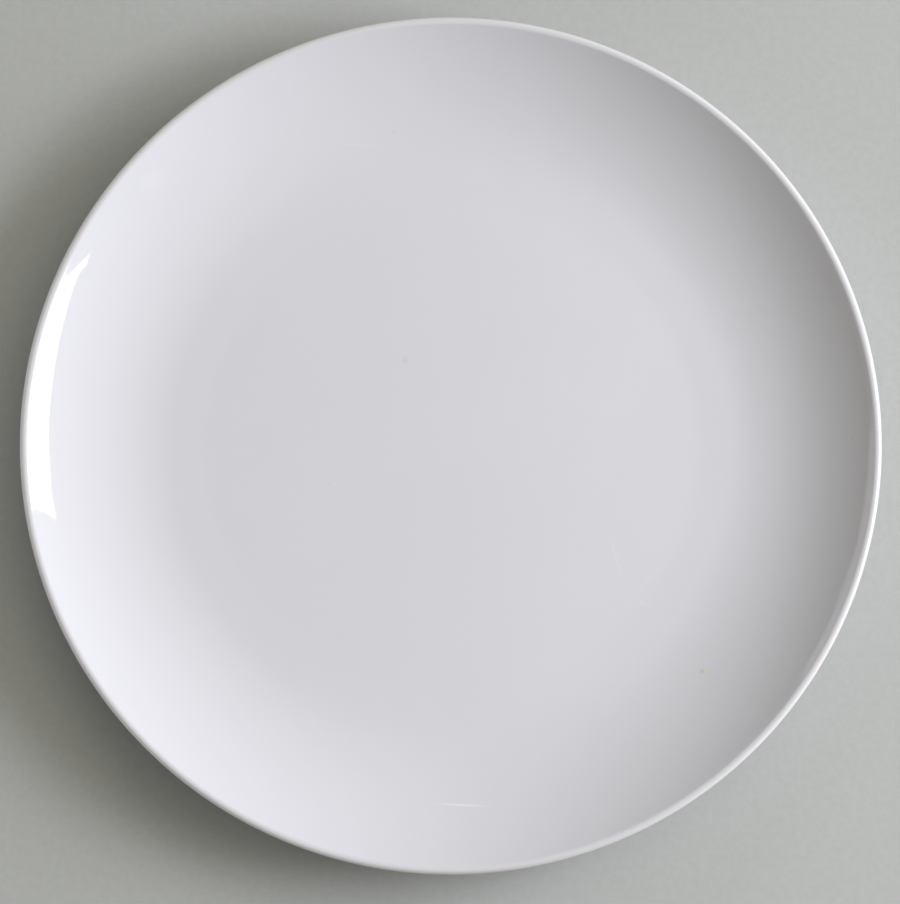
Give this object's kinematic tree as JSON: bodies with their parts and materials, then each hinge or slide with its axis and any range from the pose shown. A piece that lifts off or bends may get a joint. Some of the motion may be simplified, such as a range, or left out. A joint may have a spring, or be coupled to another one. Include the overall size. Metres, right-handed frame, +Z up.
{
  "type": "coupe dinner plate",
  "caption": "Round rimless dinner plate with a flat well, a smoothly rising wall, a thin rounded lip and a low bare foot ring under it, in clear-glazed white fired clay.",
  "frame": {"origin": "centre of the foot ring on the table plane", "axes": "+Z up along the plate's axis of revolution; +X to the right and +Y away from the viewer in the picture"},
  "size_m": [0.27, 0.27, 0.023],
  "materials": {
    "clay": "bare fired clay, matte, slightly rough",
    "face_glaze": "clear gloss glaze over white clay, faintly cool, with light use marks",
    "back_glaze": "clear gloss glaze over white clay",
    "base_glaze": "clear gloss glaze over white clay, bare of any stamp"
  },
  "bodies": {
    "root": {"clay_body": "clay", "face_glaze": "face_glaze", "back_glaze": "back_glaze", "base_glaze": "base_glaze"}
  },
  "joints": []
}
